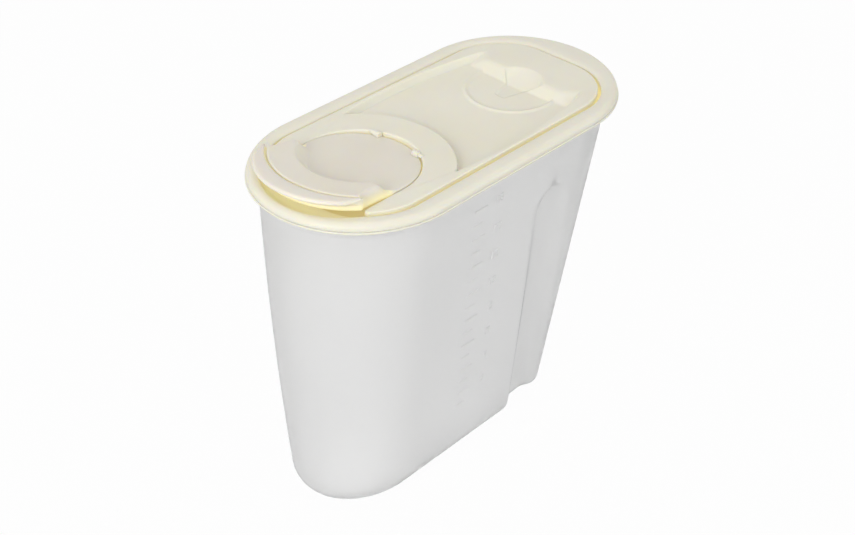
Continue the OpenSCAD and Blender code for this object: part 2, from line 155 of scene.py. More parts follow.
# Camera, found from the outlines of lid and body
EYE = (-0.4488, -0.42574, 0.55023)
LOOK_BACK = np.array([-0.5816, -0.5629, 0.5872])
FOCAL_PX = 1427.2
PHOTO_WIDE = 855.0
SENSOR = 36.0

# Light: how white the floor looks to the camera, its grey for other light, and the room's brightness
FLOOR_WHITE = 0.97
FLOOR_GREY = 0.6
ROOM_LIGHT = 0.61

# Colours
BLACK = (0.0, 0.0, 0.0)
# Painted light: glow deep in the lid's gaps
PAINTED_GAP_GLOW = (0.24, 0.215, 0.12)
# Painted light: an even glow on the pieces inside
PAINTED_INSIDE_GLOW = (0.16, 0.14, 0.07)
# Painted shade: ochre colour deep in the gaps
GAP_SHADE_OCHRE = (0.80, 0.74, 0.46)
LID_LIGHT = (0.79, 0.765, 0.665)
LID_SHADE = (0.77, 0.74, 0.63)
# The flap's tones are a little darker than the lid's: painted shade on the flap
FLAP_LIGHT = (0.77, 0.735, 0.65)
FLAP_SHADE = (0.75, 0.71, 0.62)
LIP_LIGHT = (0.79, 0.75, 0.675)
LIP_SHADE = (0.77, 0.725, 0.64)
# Painted shade: the pieces inside get cream darkened towards ochre, for the shade under the flap
INSIDE_LIGHT = (0.74, 0.67, 0.42)
INSIDE_SHADE = (0.70, 0.62, 0.36)
MILK_LIGHT = (0.985, 0.985, 0.985)
MILK_SHADE = (0.97, 0.97, 0.97)


def smooth(t):
    """Smooth step: 0 below 0, 1 above 1, with level ends."""
    t = np.clip(t, 0, 1)
    return t * t * (3 - 2 * t)


def crown(d, r):
    """How far a surface falls at distance d inside its edge when the edge is rounded with radius r."""
    t = 1 - np.clip(d / r, 0, 1)
    return r * (1 - np.sqrt(1 - t * t))


def riser(d, low, high, crown_r, foot_r):
    """Height across a wall at d = 0: a fillet at its foot before it, a rounded crown after it."""
    tall = high - low
    top_r = np.minimum(crown_r, 0.6 * tall) + 1e-6
    low_r = np.minimum(foot_r, 0.35 * tall) + 1e-6
    over = high - crown(d, top_r)
    into = 1 - np.clip(-d / low_r, 0, 1)
    under = low + low_r * (1 - np.sqrt(1 - into * into))
    return np.where(d >= 0, over, under)


def middle_gap(x, y):
    """Distance outside the raised middle's outline, below zero inside: a rectangle with round corners."""
    qx = np.abs(x) - (MIDDLE_LONG - MIDDLE_ROUND)
    qy = np.abs(y) - (MIDDLE_WIDE - MIDDLE_ROUND)
    outside = np.hypot(np.maximum(qx, 0), np.maximum(qy, 0))
    return outside + np.minimum(np.maximum(qx, qy), 0) - MIDDLE_ROUND


def flap_side_gap(x, y):
    """Distance outside the round part and straight sides of the flap."""
    return np.where(x < FLAP_X, np.abs(y), np.hypot(x - FLAP_X, y)) - FLAP_R


def step_gap(x, y):
    """Distance outside the circle of the step that the flap's lip lies in."""
    return np.hypot(x - FOOT_X, y) - FOOT_R - FLAP_GAP


def soft_low(a, b, k):
    """The lower of two heights, with the meeting line rounded where they differ by less than k."""
    t = np.clip(0.5 + 0.5 * (b - a) / k, 0, 1)
    return b + (a - b) * t - k * t * (1 - t)


def soft_high(a, b, k):
    """The higher of two heights, with the meeting line filled where they differ by less than k."""
    return -soft_low(-a, -b, k)


def tray_gap(x, y):
    """Distance outside the tray: inside the border, and between two wide arcs that draw its sides in."""
    side = np.hypot(x - TRAY_BEND_X, np.abs(y) + TRAY_BEND - MIDDLE_WIDE + BORDER) - TRAY_BEND
    return np.maximum(middle_gap(x, y) + BORDER, side)


def block_height(x, y):
    """Rear block: the lowest of its level top, its front slope and a turned slope at each side."""
    front = TOP + BLOCK_RISE * (x - BLOCK_X)
    behind = (x - BLOCK_X) * np.cos(WING_TURN) - (np.abs(y) - WING_Y) * np.sin(WING_TURN)
    slope = soft_low(front, TOP + WING_RISE * behind, 0.7)
    return soft_low(slope, TOP, 1.3)


def reach(start, way, gap, level, far):
    """How far along each ray a rising distance function gets to a level, by halving."""
    low = np.zeros(len(start))
    high = np.full(len(start), far)
    for _ in range(40):
        mid = (low + high) / 2
        p = start + way * mid[:, None]
        inside = gap(p[:, 0], p[:, 1]) < level
        low = np.where(inside, mid, low)
        high = np.where(inside, high, mid)
    return (low + high) / 2


def spread(a, b, n):
    """n rows from a to b on every ray, as columns."""
    t = np.linspace(0, 1, n)
    return a[:, None] + (b - a)[:, None] * t


def around(a, offsets):
    """Rows at fixed distances from a place on every ray."""
    return a[:, None] + np.array(offsets)


def gap_shade(z):
    """Share of painted shade and glow at a height in a gap of the lid, by how deep it lies: 0 just below the
    top, 1 near the groove's floor.
    """
    return np.clip((TOP - SHADE_START - z) / SHADE_SPAN, 0, 1)


def sheet_mesh(name, points, gap=None, turn=True):
    """Closed mesh from a grid of points, rows x columns x 3, joined at both ends of the rows.

    turn joins the columns' ends as well. Points that fall together are merged, which closes the poles,
    and the faces are turned outwards by the sign of the enclosed volume. gap is a value for each point
    that tells the material how much painted shade and glow the surface gets, for how deep in a gap it lies.
    """
    rows, cols = points.shape[:2]
    index = np.arange(rows * cols).reshape(rows, cols)
    low = index
    high = np.roll(index, -1, axis=0)
    if not turn:
        low, high = low[:-1], high[:-1]
    faces = np.stack([low, np.roll(low, -1, axis=1), np.roll(high, -1, axis=1), high], axis=-1)
    mesh = bpy.data.meshes.new(name)
    mesh.from_pydata((points.reshape(-1, 3) * MM).tolist(), [], faces.reshape(-1, 4).tolist())
    values = np.zeros(rows * cols) if gap is None else np.clip(gap, 0, 1).reshape(-1)
    mesh.attributes.new("gap", "FLOAT", "POINT").data.foreach_set("value", values.astype(np.float32))
    work = bmesh.new()
    work.from_mesh(mesh)
    bmesh.ops.remove_doubles(work, verts=work.verts, dist=2e-6)
    bmesh.ops.dissolve_degenerate(work, edges=work.edges, dist=1e-6)
    if work.calc_volume(signed=True) < 0:
        bmesh.ops.reverse_faces(work, faces=work.faces)
    work.to_mesh(mesh)
    work.free()
    mesh.polygons.foreach_set("use_smooth", np.ones(len(mesh.polygons), bool))
    piece = bpy.data.objects.new(name, mesh)
    bpy.context.scene.collection.objects.link(piece)
    return piece


def shell_ring(z, inset, n):
    """One outline of the container at height z: bowed sides with grip hollows, round rear, oval nose."""
    k = np.clip(z / SHELL_TOP, 0, 1)
    bow = 4 * k * (1 - k)
    front = -(BASE_FRONT + (MOUTH_HALF - BASE_FRONT) * k) - FRONT_BOW * bow + inset
    rear = BASE_REAR + (MOUTH_HALF - BASE_REAR) * k + REAR_BOW * bow - inset
    half = BASE_HALF + (MOUTH_R - BASE_HALF) * k + SIDE_BOW * bow
    nose = (BASE_NOSE + (1 - BASE_NOSE) * k) * half - inset
    half = half - inset
    corner = BASE_REAR_ROUND + (MOUTH_R - BASE_REAR_ROUND) * k - inset
    corner = np.maximum(np.minimum(corner, half - FLAT_END), 0.01)
    side = np.linspace(0, 1, n)
    side_x = front + nose + (rear - corner - front - nose) * side
    turn = np.radians(np.linspace(0, 90, n // 2))
    turn_x = rear - corner + corner * np.sin(turn)
    turn_y = half - corner + corner * np.cos(turn)
    bend = np.radians(np.linspace(90, 0, n // 2))
    nose_x = front + nose - nose * np.cos(bend)[::-1]
    nose_y = half * np.sin(bend)[::-1]
    x = np.concatenate([nose_x[:-1], side_x, turn_x[1:]])
    y = np.concatenate([nose_y[:-1], np.full(n, half), turn_y[1:]])
    start = GRIP_TOP - GRIP_HALF
    rise = max(z - start, 0) / GRIP_HALF
    width = GRIP_HALF * np.sqrt(max(1 - rise * rise, 0))
    deep = GRIP_DEEP * (1 + (GRIP_FADE - 1) * min(z / GRIP_TOP, 1))
    t = np.abs(x - GRIP_X) / width if width > 0.01 else np.full_like(x, 2.0)
    hollow = np.where(t < 1, deep * (1 - np.clip(t, 0, 1) ** 4) ** 2, 0)
    y = y - np.minimum(hollow, y)
    ring = np.c_[x, y]
    back = ring[::-1] * [1, -1]
    ring = np.concatenate([ring, back[:-1]]) if abs(ring[0, 1]) < 1e-9 else np.concatenate([ring, back])
    return np.c_[ring, np.full(len(ring), z)]


def container_shell():
    """The container as one closed surface: rings up the outside, round the flange, down the inside.

    Both bases close in a pole: their last rings shrink towards a point on the base.
    """
    n = 90
    turn = np.radians(np.linspace(0, 90, 12))
    levels = np.concatenate([
        np.linspace(BASE_ROUND, GRIP_TOP - GRIP_HALF - 3, 30)[1:],
        np.linspace(GRIP_TOP - GRIP_HALF - 3, GRIP_TOP + 1, 16)[1:],
        np.linspace(GRIP_TOP + 1, SHELL_TOP, 5)[1:]])
    outer = [shell_ring(BASE_ROUND * (1 - np.cos(a)), BASE_ROUND * (1 - np.sin(a)), n) for a in turn]
    outer += [shell_ring(z, 0, n) for z in levels]
    r = BASE_ROUND - WALL
    inner = [shell_ring(z, WALL, n) for z in levels[::-1]]
    inner += [shell_ring(BASE_ROUND - r * np.cos(a), BASE_ROUND - r * np.sin(a), n) for a in turn[::-1]]
    flange = []
    for z, out in ((SHELL_TOP, FLANGE_OUT), (FLANGE_TOP, FLANGE_OUT), (FLANGE_TOP, -WALL)):
        ring = shell_ring(SHELL_TOP, -out, n)
        ring[:, 2] = z
        flange.append(ring)
    middle = np.array([-19.0, 0.0])
    below = []
    above = []
    for share in np.linspace(0, 1, 7)[:-1]:
        for rings, ring in ((below, outer[0]), (above, inner[-1])):
            shrunk = ring.copy()
            shrunk[:, :2] = middle + (ring[:, :2] - middle) * share
            rings.append(shrunk)
    return sheet_mesh("container_shell", np.array(below + outer + flange + inner + above[::-1]), turn=False)


def edge_rays():
    """Rays from the lid's middle line outwards: square to the straight sides, a fan at each round end."""
    end = np.radians(np.linspace(-90, 90, 181))[:-1]
    side = np.linspace(END_X, -END_X, 90)[:-1]
    rear_c = np.c_[np.full(len(end), END_X), np.zeros(len(end))]
    rear_n = np.c_[np.cos(end), np.sin(end)]
    far_c = np.c_[side, np.zeros(len(side))]
    far_n = np.tile([0.0, 1.0], (len(side), 1))
    c = np.concatenate([rear_c, far_c])
    n = np.concatenate([rear_n, far_n])
    return np.concatenate([c, -c]), np.concatenate([n, -n])


def bead_height(x, y, r):
    """Top of the rolled edge: rounded outer side, gentle fall to the groove, step for the flap's lip."""
    side_r = END_R - EDGE_LIP
    z = TOP - crown(side_r - r, EDGE_ROUND)
    t = 1 - np.clip((middle_gap(x, y) - GROOVE_WIDTH) / BEAD_SLOPE, 0, 1)
    z = z - BEAD_DROP * (1 - np.sqrt(1 - t * t))
    lowered = riser(step_gap(x, y), STEP_Z, TOP, 1.6, 0.5)
    return np.where(x < TIP_X, np.minimum(z, lowered), z)


def lid_edge():
    """Rolled edge and groove: one profile carried round the lid on rays.

    The profile goes over the rolled edge, down the outside, round the fine lip, back under the deck, round
    the channel and along the groove's floor and outer wall. Its height on top is a function of the place.
    """
    c, n = edge_rays()
    side_r = END_R - EDGE_LIP
    groove_out = reach(c, n, middle_gap, GROOVE_WIDTH, END_R)
    step = reach(c, n, step_gap, 0, END_R + 5)
    step = np.where(c[:, 0] + n[:, 0] * step < TIP_X, step, groove_out)
    step = np.clip(step, groove_out, side_r)
    roll = np.radians(np.linspace(0, 90, 12))
    top = np.concatenate([
        around(groove_out, [0, 0.05, 0.2, 0.5, 0.9, 1.5, 2.2, 3.0, 3.8, 4.6]),
        around(step, [-0.5, -0.25, -0.02, 0.02, 0.1, 0.3, 0.6, 1.0, 1.6]),
        around(np.full(len(c), side_r), -EDGE_ROUND * (1 - np.sin(roll)))], axis=1)
    top = np.sort(np.clip(top, groove_out[:, None], side_r), axis=1)

    def put(r, z=None):
        p = c[:, None] + n[:, None] * r[..., None]
        height = bead_height(p[..., 0], p[..., 1], r) if z is None else np.broadcast_to(z, r.shape)
        return np.concatenate([p, height[..., None]], axis=-1)

    def at(values, heights):
        r = np.tile(values, (len(c), 1))
        return put(r, np.array(heights))

    def at_gap(levels, heights):
        r = np.stack([reach(c, n, middle_gap, g, END_R) for g in levels], axis=1)
        return put(r, np.array(heights))

    low = EDGE_BOTTOM
    lip = low + EDGE_LIP_HIGH
    inner_r = side_r - EDGE_WALL
    deck = TOP - SKIN - 0.2
    outside = at([side_r, side_r, side_r + 0.1, side_r + 0.3,
                  END_R - 0.05, END_R, END_R, END_R - 0.15],
                 [TOP - EDGE_ROUND - 0.5, lip + 0.35, lip + 0.12, lip + 0.02,
                  lip - 0.1, lip - 0.25, low + 0.15, low])
    inside = at([inner_r, inner_r, inner_r - 0.8], [low, deck - 1.6, deck - 0.8])
    wall_out = GROOVE_WIDTH + CHANNEL_WALL
    under = at_gap([wall_out + 0.8, wall_out, wall_out, -0.6, -0.6, 0.2, 1.3, 1.6, 1.7, 1.7, 1.7],
                   [STEP_Z - 1.0, STEP_Z - 1.6, CHANNEL_BOTTOM, CHANNEL_BOTTOM, GROOVE_FLOOR, GROOVE_FLOOR,
                    GROOVE_FLOOR, GROOVE_FLOOR + 0.1, GROOVE_FLOOR + 0.4, 188.0, 189.4])
    points = np.concatenate([put(top), outside, inside, under], axis=1)
    x, y, z = points[..., 0], points[..., 1], points[..., 2]
    # Painted shade and glow deep in the groove, and a lighter painted shade in the step under the flap's lip
    gap = gap_shade(z) * (middle_gap(x, y) < GROOVE_WIDTH + 0.15)
    under_lip_share = np.where(x < TIP_X, smooth((2.5 - step_gap(x, y)) / 3.0), 0)
    gap = np.maximum(gap, UNDER_LIP_SHADE * under_lip_share)
    return sheet_mesh("lid_edge", points, gap)


def panel_height(x, y):
    """Top of the raised middle: hinge zone, tray with the scoop's floor and bead, block, sloping border.

    The bead stands highest at the scoop's front and near side and fades towards its far side.
    The thumb pocket is cut in last. It is level at first and then rises to the top of the block, where its
    round end lies.
    """
    turn = np.hypot(x - FLAP_X, y) - HINGE_ZONE_R
    low = riser(-turn, TRAY_Z, TOP - HINGE_ZONE_DROP, 0.7, 0.6)
    inside = SCOOP_R - np.hypot(x - SCOOP_X, y)
    low = low - (TRAY_Z - SCOOP_Z) * smooth(inside / SCOOP_SLOPE + 0.5)
    front = smooth((0.9 * SCOOP_R - 0.8 * (x - SCOOP_X) - 0.6 * y) / (1.2 * SCOOP_R))
    low = low + RIM_BEAD * (0.15 + 0.85 * front) * np.exp(-(inside / RIM_WIDE) ** 2)
    low = soft_high(low, block_height(x, y), 0.5)
    z = low + (TOP - low) * smooth(tray_gap(x, y) / BORDER_SLOPE + 1)
    round_end = THUMB_C + np.sqrt(np.maximum(THUMB_R ** 2 - y ** 2, 0))
    climb = np.clip((x - THUMB_FOOT) / np.maximum(round_end - THUMB_FOOT, 1), 0, 1.1)
    bottom = soft_high(THUMB_Z + (TOP - THUMB_Z) * climb, np.full_like(x, THUMB_Z), 0.4)
    return z - np.maximum(z - bottom, 0) * smooth((thumb_half(x) - np.abs(y)) / 1.3 + 0.5)


def thumb_half(x):
    """Half width of the thumb pocket: widening in two straight stretches, then round inside the block."""
    widening = np.interp(x, [THUMB_FRONT - 0.8, THUMB_FRONT, THUMB_FOOT, BLOCK_X],
                         [-2.0, THUMB_NARROW, THUMB_FOOT_HALF, THUMB_HALF])
    round_part = np.sqrt(np.maximum(THUMB_R ** 2 - (x - THUMB_C) ** 2, 0)) - 3.0 * (x > THUMB_C + THUMB_R)
    return np.where(x < BLOCK_X, widening, round_part)


def panel_rays():
    """Rays across the raised middle, from the flap's opening to its outline, with both round tips.

    Beside the flap they run across; behind it they fan out from the middle of its round part.
    """
    inner = FLAP_R + FLAP_GAP
    cx = MIDDLE_LONG - MIDDLE_ROUND
    cy = MIDDLE_WIDE - MIDDLE_ROUND

    def outer(x):
        bend = np.maximum(-x - cx, 0)
        return cy + np.sqrt(MIDDLE_ROUND ** 2 - bend ** 2)

    x = np.linspace(TIP_X, FLAP_X, 30)[:-1]
    strip_a = np.c_[x, np.full(len(x), -inner)]
    strip_b = np.c_[x, -outer(x)]
    mid = (inner + outer(TIP_X)) / 2
    tip_r = (outer(TIP_X) - inner) / 2
    bend = np.radians(np.linspace(0, 90, 9))[:-1]
    tip_x = TIP_X - tip_r * np.cos(bend)
    tip_a = np.c_[tip_x, -(mid - tip_r * np.sin(bend))]
    tip_b = np.c_[tip_x, -(mid + tip_r * np.sin(bend))]
    fine = np.radians(np.linspace(-90, 90, 6001))
    way = np.c_[np.cos(fine), np.sin(fine)]
    start = np.tile([FLAP_X, 0.0], (len(fine), 1))
    far = reach(start, way, middle_gap, 0, 200.0)
    rim = start + way * far[:, None]
    run = np.concatenate([[0], np.cumsum(np.hypot(*np.diff(rim, axis=0).T))])
    scoop = np.radians(17.0)
    start_run, end_run = np.interp([-scoop, scoop], fine, run)
    angle = np.concatenate([
        np.interp(np.linspace(0, start_run, 90), run, fine),
        np.linspace(-scoop, scoop, 132)[1:-1],
        np.interp(np.linspace(end_run, run[-1], 90), run, fine)])
    way = np.c_[np.cos(angle), np.sin(angle)]
    start = np.tile([FLAP_X, 0.0], (len(angle), 1))
    fan_a = start + way * inner
    fan_b = start + way * reach(start, way, middle_gap, 0, 200.0)[:, None]
    near_a = np.concatenate([tip_a, strip_a])
    near_b = np.concatenate([tip_b, strip_b])
    mirror = np.array([1, -1])
    a = np.concatenate([near_a, fan_a, near_a[::-1] * mirror])
    b = np.concatenate([near_b, fan_b, near_b[::-1] * mirror])
    return a, b, mid, tip_r


def lid_top():
    """Raised middle of the lid as a closed shell on rays: over the top, down the outside, back below.

    Its height is panel_height, less the rounding of its edge. Rows lie close together where a ray crosses
    the edge of the hinge zone, the scoop, the tray's wall or the outline.
    """
    a, b, mid, tip_r = panel_rays()
    length = np.hypot(*(b - a).T)
    way = (b - a) / np.maximum(length, 1e-9)[:, None]
    tray = np.minimum(reach(a, way, tray_gap, 0, 200.0), length)
    turn = reach(a, way, lambda x, y: np.hypot(x - FLAP_X, y), HINGE_ZONE_R, 200.0)
    turn = np.minimum(turn, tray)
    wall = -BORDER_SLOPE * np.linspace(1, 0, 9)
    edge = [0, 0.04, 0.14, 0.32, 0.6, 0.9]
    share = np.concatenate([
        np.linspace(0, 0.30, 16), np.linspace(0.31, 0.87, 124), np.linspace(0.88, 1, 10)])
    over = np.concatenate([
        around(np.zeros(len(a)), edge),
        spread(np.full(len(a), 1.2), turn - 0.9, 8),
        around(turn, [-0.7, -0.35, -0.12, -0.015, 0.015, 0.12, 0.4]),
        turn[:, None] + 0.7 + (tray - BORDER_SLOPE - turn - 1.0)[:, None] * share,
        around(tray, wall),
        spread(tray + 0.4, length - 1.0, 12),
        around(length, [-e for e in edge[::-1]])], axis=1)
    over = np.sort(np.clip(over, 0, length[:, None]), axis=1)
    back = np.concatenate([
        around(length, [0, -1.3, -1.4]),
        spread(length - 2, np.full(len(a), 2.0), 26),
        around(np.zeros(len(a)), [1.4, 1.3, 0])], axis=1)
    back = -np.sort(-np.clip(back, 0, length[:, None]), axis=1)

    def put(t):
        return a[:, None] + way[:, None] * t[..., None]

    def inside(p):
        x, y = p[..., 0], p[..., 1]
        room = np.minimum(flap_side_gap(x, y) - FLAP_GAP, -middle_gap(x, y))
        tip = tip_r - np.hypot(x - TIP_X, np.abs(y) - mid)
        return np.maximum(np.where(x < TIP_X, tip, room), 0)

    p = put(over)
    z = panel_height(p[..., 0], p[..., 1]) - crown(inside(p), 0.8)
    top = np.concatenate([p, z[..., None]], axis=-1)
    q = put(back)
    deep = panel_height(q[..., 0], q[..., 1]) - SKIN
    z = np.where(inside(q) < 1.35, CHANNEL_BOTTOM, np.minimum(deep, TOP - SKIN))
    below = np.concatenate([q, z[..., None]], axis=-1)
    outer_wall = np.repeat(top[:, -1:], 4, axis=1)
    outer_wall[..., 2] = WALL_LEVELS
    inner_wall = np.repeat(top[:, :1], 4, axis=1)
    inner_wall[..., 2] = WALL_LEVELS[::-1]
    points = np.concatenate([top, outer_wall, below, inner_wall], axis=1)
    # Painted shade and glow on the walls down into the groove, by depth
    gap = np.zeros(points.shape[:2])
    shade_share = gap_shade(points[..., 2])
    rows = top.shape[1]
    gap[:, rows:rows + 4] = shade_share[:, rows:rows + 4]
    gap[:, -4:] = shade_share[:, -4:]
    return sheet_mesh("lid_top", points, gap, turn=False)


def flap_edge(turn):
    """From the dish's middle to the flap's edge: round behind, straight sides, a wider arc in front."""
    x, y = np.cos(turn), np.abs(np.sin(turn))

    def to_circle(centre, radius):
        run = x * (centre - DISH_X)
        return run + np.sqrt(run ** 2 + radius ** 2 - (centre - DISH_X) ** 2)

    side = FLAP_R / np.maximum(y, 1e-6)
    behind = np.where(x > (FLAP_X - DISH_X) / FLAP_R, to_circle(FLAP_X, FLAP_R), side)
    corner = np.arctan2(FLAP_R, FAN_X - DISH_X)
    share = smooth((np.abs(turn) - corner) / np.radians(1.3) + 0.3)
    return np.minimum(behind, 60) * (1 - share) + to_circle(RIDGE_X, RIDGE_R) * share


def flap_height(x, y):
    """Top of the flap when shut: level dish, cone up to a level ridge, which starts in a sloping shoulder.

    Cone and shoulder are smooth steps, so that both meet the dish and the ridge without an edge.
    """
    cone = smooth((np.hypot(x - DISH_X, y) - DISH_R + DISH_SLOPE + 1.0) / (DISH_SLOPE + 1.6))
    shoulder = smooth((RIDGE_END + 0.8 - x) * SHOULDER_RISE / (RIDGE_Z - DISH_Z + 1.6))
    return DISH_Z + (RIDGE_Z - DISH_Z) * cone * shoulder


def swing(points, angle):
    """Points turned about the hinge axis."""
    x = points[..., 0] - HINGE_X
    z = points[..., 2] - HINGE_Z
    turned = points.copy()
    turned[..., 0] = HINGE_X + x * np.cos(angle) + z * np.sin(angle)
    turned[..., 2] = HINGE_Z - x * np.sin(angle) + z * np.cos(angle)
    return turned


def flap_cover():
    """Flap as a closed shell on rays from the dish's middle: over the top, down its edge, back below.

    Its height is flap_height, less the rounding of its edge. Below it lies one wall's thickness lower, so
    that the ridge is hollow.
    The edge is rounded widely beside the ridge and tightly in front and behind.
    """
    turn = np.radians(np.linspace(-180, 180, 541))[:-1]
    edge = flap_edge(turn)
    way = np.c_[np.cos(turn), np.sin(turn)]
    front = smooth((np.abs(np.degrees(turn)) - 128) / 5)
    beside = smooth((np.abs(np.degrees(turn)) - 98) / 8) * (1 - front)
    rounding = 0.6 + 2.6 * beside + 0.2 * front
    drop = 1 - np.cos(np.radians(np.linspace(0, 90, 9)))
    rim = edge[:, None] - rounding[:, None] * (1 - np.sin(np.radians(np.linspace(0, 90, 9))))
    rows = np.concatenate([
        np.tile(np.linspace(0, DISH_R - DISH_SLOPE - 2.5, 12), (len(turn), 1)),
        spread(0 * edge + DISH_R - DISH_SLOPE - 2.0, edge - rounding - 0.2, 46)], axis=1)
    rows = np.minimum(rows, (edge - rounding)[:, None])
    r = np.concatenate([rows, rim], axis=1)
    p = np.array([DISH_X, 0.0]) + way[:, None] * r[..., None]
    z = flap_height(p[..., 0], p[..., 1])
    tall = np.minimum(rounding, 0.8 * (z[:, -1] - FLAP_UNDER))
    z[:, -9:] -= tall[:, None] * drop
    top = np.concatenate([p, z[..., None]], axis=-1)
    low = np.where(np.abs(turn) > np.radians(132), LIP_UNDER, FLAP_UNDER)
    wall = np.repeat(top[:, -1:], 4, axis=1)
    wall[..., 2] = spread(z[:, -1], low, 5)[:, 1:]
    back = np.concatenate([np.tile(edge[:, None], 2), rows[:, ::-2], rows[:, :1]], axis=1)
    back = np.minimum(back, edge[:, None] - SKIN)
    q = np.array([DISH_X, 0.0]) + way[:, None] * back[..., None]
    z = np.maximum(flap_height(q[..., 0], q[..., 1]) - SKIN, FLAP_UNDER)
    z[:, 0] = low
    below = np.concatenate([q, z[..., None]], axis=-1)
    points = np.concatenate([top, wall, below], axis=1)
    # Painted shade and glow on the flap's rounded edge and wall beside and in front of the ridge, and a
    # painted shade of 0.4 all over its underside
    shade_share = np.zeros(points.shape[:2])
    count = top.shape[1]
    flank_shade = np.clip((RIDGE_Z - 1.6 - points[..., 2]) / 5.5, 0, 1) * (beside + front)[:, None]
    shade_share[:, count - 9:count + 4] = flank_shade[:, count - 9:count + 4]
    shade_share[:, count + 4:] = 0.4
    return sheet_mesh("flap_cover", swing(points, AJAR), shade_share)


def flap_lip():
    """Crescent lip as a closed sweep round the ridge: fine line, level top, flare and a foot below it.

    Each edge of the profile follows its own circle, and all are cut by the circle that rounds the lip's ends.
    The width shrinks to nothing at both ends, and the line opens to a small notch there.
    """
    end = np.arctan2(np.sqrt(RIDGE_R ** 2 - (FAN_X - RIDGE_X) ** 2), FAN_X - RIDGE_X)
    turn = np.linspace(end, 2 * np.pi - end, 301)
    left = np.minimum(turn - end, 2 * np.pi - end - turn) / np.radians(2.0)
    width = np.sqrt(1 - (1 - np.clip(left, 0, 1)) ** 2)

    def out_to(centre, radius):
        run = np.cos(turn) * (centre - RIDGE_X)
        return run + np.sqrt(np.maximum(run ** 2 + radius ** 2 - (centre - RIDGE_X) ** 2, 0))

    inner = RIDGE_R + 0.05 + 1.1 * (1 - np.clip(left / 1.6, 0, 1)) ** 2
    cut = out_to(LIP_END_X, LIP_END_R)

    def edge(centre, radius, less=0.0):
        far = np.minimum(out_to(centre, radius), cut) - less
        return inner + np.maximum(far - inner, 0.02) * width

    lip = edge(LIP_X, LIP_R)
    flare = edge(LIP_X, LIP_R - FLARE_OUT)
    foot = edge(FOOT_X, FOOT_R)
    flare = np.maximum(flare, foot)
    line = np.minimum(inner + LINE_WIDTH * (0.35 + 0.65 * width), lip)
    bend = np.radians([90, 70, 50, 30, 10, 0])
    crown_r = np.minimum(1.3, 0.5 * np.maximum(lip - line, 0.01))
    rows = [(inner, LIP_UNDER), (inner, 193.0), (inner, LINE_Z), (line - 0.15, LINE_Z), (line, LINE_Z + 0.3),
            (line + 0.02, RIDGE_Z - 0.35), (np.minimum(line + 0.12, lip), RIDGE_Z - 0.1),
            (np.minimum(line + 0.35, lip), RIDGE_Z)]
    rows += [(line + 0.35 + (lip - crown_r - line - 0.35) * share, RIDGE_Z) for share in (0.25, 0.5, 0.75)]
    rows += [(lip - crown_r * (1 - np.cos(a)), RIDGE_Z - crown_r * (1 - np.sin(a))) for a in bend]
    top = FLARE_Z + FLARE_HIGH
    rows += [(lip + (flare - lip) * share, top - 0.6 + (FLARE_Z - top + 0.6) * share)
             for share in (0.0, 0.15, 0.35, 0.6, 0.85, 1.0)]
    rows += [(flare + (foot - flare) * 0.6, FLARE_Z - 0.35), (foot, FLARE_Z - 0.7), (foot, 191.6),
             (foot, LIP_UNDER)]
    r = np.stack([np.maximum(row[0], inner) for row in rows], axis=1)
    z = np.stack([row[1] + 0 * inner for row in rows], axis=1)
    x = RIDGE_X + r * np.cos(turn)[:, None]
    y = r * np.sin(turn)[:, None]
    points = np.stack([x, y, z], axis=-1)
    # Painted shade and glow down the lip's lower faces, and strongly on its inner wall under the line
    shade_share = np.clip((RIDGE_Z - 1.0 - z) / 5.0, 0, 1)
    shade_share[:, :5] = 0.85
    return sheet_mesh("flap_lip", swing(points, AJAR), shade_share, turn=False)


def socket(group, name, kind, way, value=None):
    """A named input or output on a node group."""
    s = group.interface.new_socket(name, in_out=way, socket_type=kind)
    if value is not None:
        s.default_value = value
    return s


def moulded_skin():
    """Node group, the uneven skin of moulded plastic: cloudy tone, and grain on soft waves as a height."""
    group = bpy.data.node_groups.new("moulded_skin", "ShaderNodeTree")
    socket(group, "Cloud Size", "NodeSocketFloat", "INPUT", 25.0)
    socket(group, "Grain Size", "NodeSocketFloat", "INPUT", 1800.0)
    socket(group, "Tone", "NodeSocketFloat", "OUTPUT")
    socket(group, "Height", "NodeSocketFloat", "OUTPUT")
    nodes, links = group.nodes, group.links
    given = nodes.new("NodeGroupInput")
    out = nodes.new("NodeGroupOutput")
    place = nodes.new("ShaderNodeTexCoord")
    cloud = nodes.new("ShaderNodeTexNoise")
    cloud.inputs["Detail"].default_value = 3.0
    grain = nodes.new("ShaderNodeTexNoise")
    grain.inputs["Detail"].default_value = 2.0
    links.new(place.outputs["Object"], cloud.inputs["Vector"])
    links.new(place.outputs["Object"], grain.inputs["Vector"])
    links.new(given.outputs["Cloud Size"], cloud.inputs["Scale"])
    links.new(given.outputs["Grain Size"], grain.inputs["Scale"])
    mix = nodes.new("ShaderNodeMath")
    mix.operation = "MULTIPLY_ADD"
    links.new(grain.outputs["Fac"], mix.inputs[0])
    mix.inputs[1].default_value = 0.25
    links.new(cloud.outputs["Fac"], mix.inputs[2])
    links.new(cloud.outputs["Fac"], out.inputs["Tone"])
    links.new(mix.outputs["Value"], out.inputs["Height"])
    return group


def colour_mix(nodes, links, share, first, second):
    """Mix of two colours by a share, which is a socket. Each colour is a socket or plain values."""
    mix = nodes.new("ShaderNodeMix")
    mix.data_type = "RGBA"
    links.new(share, mix.inputs["Factor"])
    for name, value in (("A", first), ("B", second)):
        target = [s for s in mix.inputs if s.name == name and s.type == "RGBA"][0]
        if isinstance(value, tuple):
            target.default_value = (*value, 1)
        else:
            links.new(value, target)
    return [s for s in mix.outputs if s.type == "RGBA"][0]


